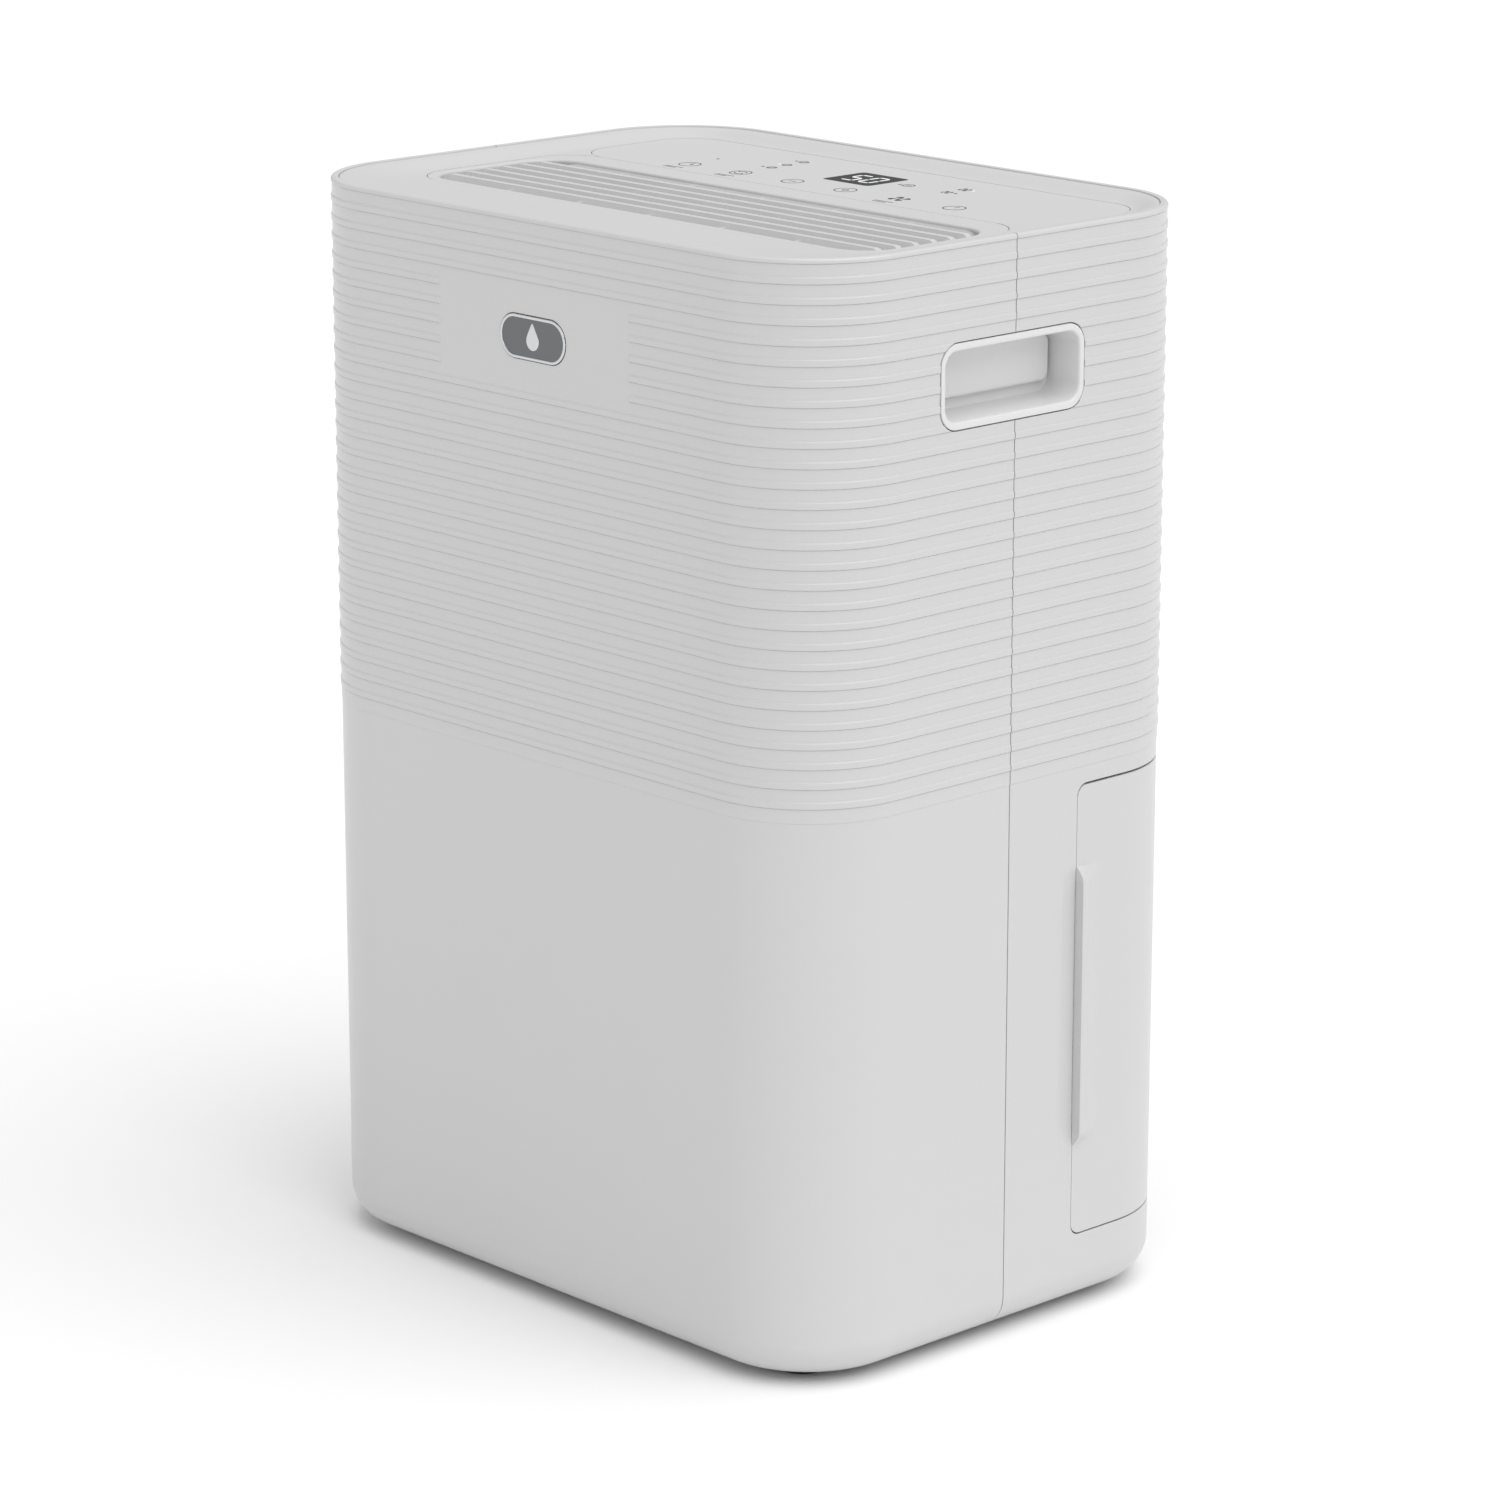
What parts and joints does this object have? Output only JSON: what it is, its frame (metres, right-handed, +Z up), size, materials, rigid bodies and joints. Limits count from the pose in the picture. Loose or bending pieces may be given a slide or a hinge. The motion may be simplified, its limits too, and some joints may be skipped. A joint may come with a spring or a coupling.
{
  "type": "dehumidifier",
  "caption": "Upright box dehumidifier with a ribbed upper body, dished top with touch panel and outlet grille, side handle cups, rear inlet grille and a pull-out water tank.",
  "frame": {"origin": "on the floor under the middle of the body's box", "axes": "+Z up; the badge and the outlet face -Y, the water tank and the air inlet face +Y, the right side with its handle cup faces +X"},
  "size_m": [0.3574, 0.256, 0.51],
  "materials": {
    "shell_plastic": "fine moulded texture, satin, light warm grey",
    "inner_plastic": "plain moulded",
    "panel_print": "smooth satin with dark grey icons",
    "display_window": "gloss black with white digits",
    "badge_chrome": "bright plated",
    "rubber_black": "matt",
    "tank_plastic": "translucent, slightly blue",
    "filter_mesh": "woven plastic mesh",
    "dark_plastic": "moulded",
    "black_paint": "semi-gloss black enamel",
    "copper": "drawn copper tube, slightly dulled",
    "coil_aluminium": "mill finish fins",
    "steel": "zinc plated",
    "circuit_board": "green solder mask"
  },
  "bodies": {
    "housing": {"front_housing": "shell_plastic", "rear_housing": "shell_plastic", "right_handle_cup": "shell_plastic", "left_handle_cup": "shell_plastic", "front_badge": "badge_chrome", "top_cover": "shell_plastic", "control_panel": "panel_print", "display_lens": "display_window", "outlet_grille": "shell_plastic", "outlet_plenum": "inner_plastic", "base_tray": "inner_plastic", "foot_1": "rubber_black", "foot_2": "rubber_black", "foot_3": "rubber_black", "foot_4": "rubber_black", "bay_liner": "inner_plastic", "drain_port": "inner_plastic", "cord_gland": "dark_plastic", "housing_screw_1": "steel", "housing_screw_2": "steel", "housing_screw_3": "steel", "housing_screw_4": "steel", "fan_scroll": "inner_plastic", "fan_motor": "black_paint", "evaporator": "coil_aluminium", "condenser": "coil_aluminium", "drip_tray": "inner_plastic", "compressor": "black_paint", "compressor_grommet_1": "rubber_black", "compressor_grommet_2": "rubber_black", "compressor_grommet_3": "rubber_black", "accumulator": "black_paint", "suction_pipe": "copper", "discharge_pipe": "copper", "capillary_tube": "copper", "control_board": "circuit_board", "power_board": "circuit_board", "run_capacitor": "coil_aluminium", "humidity_sensor": "dark_plastic", "tank_switch": "dark_plastic"},
    "fan": {"fan_impeller": "dark_plastic", "fan_shaft": "steel"},
    "tank": {"tank_panel": "shell_plastic", "tank_tub": "tank_plastic", "tank_lid": "inner_plastic"},
    "bail": {"tank_handle": "inner_plastic"},
    "float": {"tank_float": "inner_plastic"},
    "inlet": {"inlet_grille": "shell_plastic", "filter_frame": "dark_plastic", "filter_mesh": "filter_mesh"},
    "plug": {"drain_plug": "rubber_black"}
  },
  "joints": [
    {"name": "fan_spin", "type": "hinge", "parent": "housing", "child": "fan", "pos_m": [0, 0, 0.372], "axis": [0, 1, 0], "continuous": true},
    {"name": "tank_slide", "type": "slide", "parent": "housing", "child": "tank", "axis": [0, 1, 0], "range_m": [0, 0.15]},
    {"name": "bail_swing", "type": "hinge", "parent": "tank", "child": "bail", "pos_m": [0, 0.04, 0.198], "axis": [1, 0, 0], "range_deg": [0, 90]},
    {"name": "float_swing", "type": "hinge", "parent": "tank", "child": "float", "pos_m": [0, 0.03, 0.181], "axis": [1, 0, 0], "range_deg": [0, 10]},
    {"name": "inlet_tilt", "type": "hinge", "parent": "housing", "child": "inlet", "pos_m": [0, 0.1279, 0.2874], "axis": [-1, 0, 0], "range_deg": [0, 60]},
    {"name": "plug_pull", "type": "slide", "parent": "housing", "child": "plug", "axis": [0, 1, 0], "range_m": [0, 0.02]}
  ]
}
